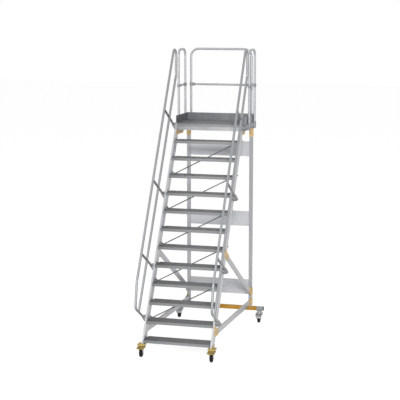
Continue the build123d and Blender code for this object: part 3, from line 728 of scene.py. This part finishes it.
# Bolts in the pads of the rail sleeves, two above and two below each tube.
pad_reach = 0.038
pad_x = stringer_outer + pad_reach
pad_half = 0.031
pad_bolt_radius = 0.0062
lowest_sleeve = 0.345
stations = np.array([lowest_sleeve, 4 * tread_pitch, 8 * tread_pitch, 12 * tread_pitch])
pad_along, pad_square = np.meshgrid([-pad_half, pad_half], [-0.058, -0.122])
pad_bolts = both_sides(on_slope(stations[:, None] + pad_along.ravel(), pad_square.ravel(), pad_x))
bolts("rail_sleeve_bolts", pad_bolts, outward(pad_bolts), pad_bolt_radius)

# Bolts in the pads of the platform's railing sleeves.
deck_top = 3.12
platform_y = nosing_y + tread_count * riser / tan(slope)
platform_length = 0.717
beam_height = 0.105
beam_middle_z = deck_top - beam_height / 2
hoop_y = platform_y + np.array([0.321, 0.673])
pad_offsets = [(along, dz) for along in (-pad_half, pad_half) for dz in (-0.03, 0.03)]
side_pads = both_sides([(pad_x, y + dy, beam_middle_z + dz)
                        for y in hoop_y for dy, dz in pad_offsets])
bolts("side_railing_bolts", side_pads, outward(side_pads), pad_bolt_radius)
rear_x = 0.475
rear_y = platform_y + platform_length + pad_reach
rear_pads = both_sides([(rear_x + dx, rear_y, beam_middle_z + dz) for dx, dz in pad_offsets])
bolts("rear_railing_bolts", rear_pads, (0, 1, 0), pad_bolt_radius)

# Bolts of the gussets, on the inner faces of the stringers and side beams.
gusset_plate = 0.006
gusset_x = stringer_inner - gusset_plate
frame_bolt_radius = 0.0085
# distance behind the front edge of the platform, depth under the deck
gusset_places = ((0.01, 0.135), (0.075, 0.135), (0.14, 0.06), (0.2, 0.135), (0.29, 0.06),
                 (0.29, 0.12))
gusset_bolts = both_sides([(gusset_x, platform_y + y, deck_top - depth)
                           for y, depth in gusset_places])
bolts("gusset_bolts", gusset_bolts, -outward(gusset_bolts), frame_bolt_radius)

# Bolts of the sleeves on top of the rear posts, facing front and rear.
sleeve_wall = 0.003
sleeve_z = deck_top - beam_height - np.array([0.035, 0.095])
sleeve_front = both_sides([(stringer_middle, post_front - sleeve_wall, z) for z in sleeve_z])
sleeve_back = both_sides([(stringer_middle, post_rear + sleeve_wall, z) for z in sleeve_z])
bolts("post_sleeve_bolts_front", sleeve_front, (0, -1, 0), frame_bolt_radius)
bolts("post_sleeve_bolts_rear", sleeve_back, (0, 1, 0), frame_bolt_radius)

# Rivets at the ends of the cross panels and along the toe boards.
panel_lows = (0.434, 1.503, 2.580)
panel_height = 0.226
panel_edge = stringer_middle - 0.025
panel_front = post_middle - 0.015
rivet_inset = 0.016
panel_rivets = both_sides([(panel_edge - rivet_inset, panel_front, low + panel_height / 2 + dz)
                           for low in panel_lows for dz in (-0.078, 0.0, 0.078)])
rivets("panel_rivets", panel_rivets, (0, -1, 0), 0.006,
       metals["panel_aluminium"])
board_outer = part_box("toe_boards")[1][0]
board_rivets = both_sides([(board_outer, platform_y + y, deck_top + 0.025)
                           for y in (0.15, 0.25, 0.4, 0.5, 0.6, 0.7)])
# The rivets take the toe boards' finish, painted shade and painted reflection included.
rivets("toe_board_rivets", board_rivets, outward(board_rivets), 0.005,
       metals["toe_board_aluminium"])

# Bright zinc steel: caster forks, plates and axles, ends of the cross beam, tie rods.
# Plated steel sheet and rod with a faint spangle; the front forks' shoulders are gold.
bright_zinc = plain_finish("bright_zinc", (0.22, 0.225, 0.23), (0.36, 0.37, 0.375), 0.36, 0.5, 24.0)


def housing_zinc():
    """Gold on the upper part of the front casters, where Y is negative, and grey elsewhere."""
    material, tree, shader = new_finish("caster_zinc")
    place = add_node(tree, "ShaderNodeTexCoord", output="Object")
    spread = add_node(tree, "ShaderNodeSeparateXYZ", sockets={0: place}, output="Y")
    height = Signal(tree, spread.socket.node.outputs["Z"])
    cloud = noise(tree, place, 30.0, 4.0)
    stops = [(0.3, (0.34, 0.27, 0.08)), (0.5, (0.52, 0.39, 0.12)), (0.7, (0.66, 0.5, 0.22))]
    gold = add_node(tree, "ShaderNodeValToRGB", {"stops": stops}, {0: cloud})
    grey = mix_colours(tree, cloud, (0.34, 0.35, 0.36, 1), (0.50, 0.51, 0.52, 1))
    high = add_node(tree, "ShaderNodeMapRange", {"interpolation_type": "SMOOTHSTEP"},
                    {"Value": height, "From Min": 0.085, "From Max": 0.14})
    warm = high * ((0.0 - spread) > 0.0)
    fill_sockets(tree, shader, {"Base Color": mix_colours(tree, warm, grey, gold),
                                "Roughness": 0.32 + 0.12 * cloud, "Metallic": 0.45})
    return material


# The tie rods are bright zinc like the rest, given a much darker tone as painted shade.
rod_zinc_painted_shade = plain_finish("rod_zinc_painted_shade", (0.10, 0.102, 0.105), (0.16, 0.163, 0.167), 0.36, 0.4, 24.0)
dress(("caster_axle", "cross_beam_ends"), bright_zinc)
dress(("tie_rods",), rod_zinc_painted_shade)
caster_zinc = housing_zinc()
dress(("caster_plates",), caster_zinc)

# Caster forks: pressed steel with wide shoulders, two tapering legs beside the wheel, a
# guard over the side of the wheel away from the kingpin, and a bearing head with two rims.
front_swivel_y = nosing_y + 0.028
rear_swivel_x = 0.641
swivels = {"front_left": (-foot_x, front_swivel_y), "front_right": (foot_x, front_swivel_y),
           "rear_left": (-rear_swivel_x, post_middle), "rear_right": (rear_swivel_x, post_middle)}
trail = 0.035
axle_height = 0.0625
# height, inner and outer distance from the middle, front and rear, measured from the swivel
leg_table = np.array([
    (0.150, 0.0440, 0.0500, -0.060, 0.030),
    (0.134, 0.0455, 0.0500, -0.060, 0.030),
    (0.118, 0.0340, 0.0390, -0.058, 0.012),
    (0.102, 0.0220, 0.0265, -0.056, -0.006),
    (0.080, 0.0220, 0.0262, -0.0530, -0.0170),
    (axle_height, 0.0220, 0.0260, -0.0510, -0.0190),
    (0.0565, 0.0220, 0.0260, -0.0498, -0.0202),
    (0.0510, 0.0220, 0.0260, -0.0461, -0.0239),
    (0.0472, 0.0220, 0.0260, -0.0395, -0.0305),
])
# The rear forks are housings that taper evenly down to the axle: three rows differ.
rear_legs = leg_table.copy()
rear_legs[2:5] = [
    (0.118, 0.0415, 0.0460, -0.058, 0.022),
    (0.102, 0.0345, 0.0390, -0.056, 0.010),
    (0.074, 0.0225, 0.0270, -0.0530, -0.014),
]
crown_half, crown_front, crown_rear = 0.0445, -0.0595, 0.0295
crown_low, crown_high = 0.146, 0.1497
guard_inner, guard_outer = 0.069, 0.073
guard_start = -22
fork_bevel = 0.0008
# radius and height of the head's outline, which is round throughout
head_rows = ((0.0, 0.149, 0), (0.036, 0.149, 0), (0.036, 0.153, 0), (0.0335, 0.155, 0),
             (0.0335, 0.166, 0), (0.037, 0.168, 0), (0.037, 0.1712, 0), (0.0, 0.1712, 0))


def fork_grids(legs, guard_end):
    """Grids of a fork: legs as rectangles that change with height, crown, and a guard bent
    round the wheel that is as wide as the legs are apart at each height."""
    z, inner, outer, front, rear = legs.T
    grids = []
    for sign in (-1, 1):
        ring = [(inner, front), (outer, front), (outer, rear), (inner, rear)]
        grids.append(np.stack([np.stack([sign * x, y, z], axis=1) for x, y in ring], axis=1))
    crown = [(-crown_half, crown_front), (crown_half, crown_front),
             (crown_half, crown_rear), (-crown_half, crown_rear)]
    grids.append(np.stack([np.column_stack([crown, np.full(4, height)])
                           for height in (crown_low, crown_high)]))
    turn = np.radians(np.linspace(guard_start, guard_end, 20))
    guard_z = axle_height + (guard_inner + guard_outer) / 2 * np.cos(turn)
    half_width = np.interp(guard_z, z[::-1], outer[::-1])
    lip = [(guard_inner, -1), (guard_inner, 1), (guard_outer, 1), (guard_outer, -1)]
    grids.append(np.stack([np.stack([sign * half_width, -trail - radius * np.sin(turn),
                                     axle_height + radius * np.cos(turn)], axis=1)
                           for radius, sign in lip], axis=1))
    return [capped(grid) for grid in grids]


def grid_shell(grid):
    """Points and faces of one closed grid."""
    return grid.reshape(-1, 3), grid_quads(1, *grid.shape[:2])


for name, (x, y) in swivels.items():
    legs, guard_end = (leg_table, 40) if name.startswith("front") else (rear_legs, 74)
    shells = [grid_shell(grid + np.array([x, y, 0.0])) for grid in fork_grids(legs, guard_end)]
    shells.append(grid_shell(turned_points(head_rows, 40, (x, y, 0.0), (0, 0, 1), 1.0)[0]))
    fork = shells_piece(f"caster_housing_{name}", shells, caster_zinc,
                        f"swivel_{name}", fork_bevel)
    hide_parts(f"caster_fork_{name}")

# Nuts of the tie rods, one on each side of both lugs of a rod.
rod_gap = 0.003
rod_radius = 0.008
rod_left_offset = 0.118
rod_right_offset = 0.136
tread_back = tread_depth * sin(slope) + tread_height * cos(slope)
rod_square = -(tread_back + rod_gap + rod_radius)
rod_numbers = np.arange(2, 12, 2)
lug_half = 0.0035
lug_x = stringer_inner + lug_half
rod_low = on_slope((rod_numbers - 1) * tread_pitch + rod_left_offset, rod_square, -lug_x)
rod_high = on_slope((rod_numbers + 1) * tread_pitch + rod_right_offset, rod_square, lug_x)
rod_axis = rod_high - rod_low
rod_axis /= np.linalg.norm(rod_axis, axis=1, keepdims=True)
nut_places = np.vstack([rod_low - lug_half * rod_axis, rod_low + lug_half * rod_axis,
                        rod_high - lug_half * rod_axis, rod_high + lug_half * rod_axis])
nut_axes = np.vstack([-rod_axis, rod_axis, -rod_axis, rod_axis])
bolts("tie_rod_nuts", nut_places, nut_axes, 0.0135)

# Wheels.
# Solid black rubber tyres on plastic centres, with eight ribs in each dished side.
black_rubber = plain_finish("black_rubber", (0.006, 0.006, 0.0065), (0.013, 0.013, 0.0135),
                            0.66, 0.0, 30.0, 0.15)
dress(("caster_wheel",), black_rubber)
wheel_plastic = plain_finish("wheel_plastic", (0.012, 0.012, 0.013), (0.024, 0.024, 0.025),
                             0.5, 0.0, 40.0, 0.2)


def rib_points(centre):
    """Radial ribs: a rectangle at each radius, turned to eight angles on both sides. The
    first and last rectangles have no size, and close the rib's ends."""
    turn = (2 * pi * np.arange(8) / 8)[:, None, None]
    radius = np.array([0.021, 0.021, 0.0465, 0.0465])[:, None]
    half_width = np.array([0.0, 0.0026, 0.002, 0.0])[:, None]
    low, high = 0.0095, 0.0148
    offset = half_width * np.array([-1.0, -1.0, 1.0, 1.0])
    y = radius * np.cos(turn) - offset * np.sin(turn)
    z = radius * np.sin(turn) + offset * np.cos(turn)
    corners = []
    for side in (-1, 1):
        x = side * np.where(half_width == 0.0, (low + high) / 2, np.array([low, high, high, low]))
        corners.append(np.stack([np.broadcast_to(x, y.shape), y, z], axis=-1))
    return np.concatenate(corners) + centre


for name in swivels:
    centre = np.mean(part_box(f"caster_wheel_{name}"), axis=0)
    skin_piece(f"wheel_ribs_{name}", rib_points(centre), wheel_plastic,
               f"wheel_{name}")

# Nuts under the top plates of the casters, four on each.
plate_low = 0.181
plate_nuts = [(x + dx, y + dy, plate_low) for x, y in swivels.values()
              for dx in (-0.036, 0.036) for dy in (-0.034, 0.034)]
bolts("caster_plate_nuts", plate_nuts, (0, 0, -1), 0.0062)

# Weld beads: round the feet of the rear posts, where the beams of the platform meet and
# at the ends of the panels. Each is a row of ripples laid in a corner.


def bead_points(starts, ends, radius, ripples):
    """Beads: points round a line, whose radius swells and sinks with a sine along it and
    falls to nothing at the ends."""
    starts = np.asarray(starts, float).reshape(-1, 3)
    ends = np.asarray(ends, float).reshape(-1, 3)
    axis = ends - starts
    length = np.linalg.norm(axis, axis=1, keepdims=True)
    axis = axis / length
    helper = np.where(np.abs(axis[:, 2:]) < 0.9, [[0, 0, 1.0]], [[1.0, 0, 0]])
    first = np.cross(axis, helper)
    first /= np.linalg.norm(first, axis=1, keepdims=True)
    second = np.cross(axis, first)
    share = np.linspace(0, 1, 4 * ripples + 1)
    swell = radius * (1 + 0.16 * np.sin(2 * pi * ripples * share))
    swell[[0, -1]] = 0.0
    turn = 2 * pi * np.arange(8) / 8
    ring = (np.cos(turn)[None, :, None] * first[:, None, :]
            + np.sin(turn)[None, :, None] * second[:, None, :])
    line = starts[:, None, :] + share[None, :, None] * (ends - starts)[:, None, :]
    return line[:, :, None, :] + swell[None, :, None, None] * ring[:, None, :, :]


weld_metal = tube_metal("weld_metal", (0.42, 0.43, 0.44), 0.5, 0.4)


def welds(name, starts, ends, radius, ripples):
    """Weld beads between pairs of points of the right-hand side, and their mirror images."""
    points = bead_points(both_sides(starts), both_sides(ends), radius, ripples)
    skin_piece(name, points, weld_metal, smooth=True)


post_inner, _, post_low_z = post_box[0]
post_corners = np.array([(x, y, post_low_z) for x, y in (
    (post_inner, post_front), (post_outer, post_front), (post_outer, post_rear),
    (post_inner, post_rear))])
welds("post_foot_welds", post_corners, np.roll(post_corners, -1, axis=0), 0.0035, 12)
deck_height = 0.036
front_beam_height = 0.059
beam_low = deck_top - deck_height - front_beam_height
# distance behind the front edge of the platform, lower and upper end of the bead
beam_welds = np.array([(y, beam_low, beam_low + 0.055) for y in (0.008, 0.048, 0.3435, 0.3735)]
                      + [(0.69, deck_top - beam_height, 3.08)])
weld_x = np.full(len(beam_welds), stringer_inner)
weld_y = platform_y + beam_welds[:, 0]
welds("platform_welds", np.column_stack([weld_x, weld_y, beam_welds[:, 1]]),
      np.column_stack([weld_x, weld_y, beam_welds[:, 2]]), 0.003, 14)
panel_weld_low = np.array([(panel_edge, panel_front + 0.001, low) for low in panel_lows])
welds("panel_welds", panel_weld_low, panel_weld_low + np.array([0, 0, panel_height]), 0.003, 50)
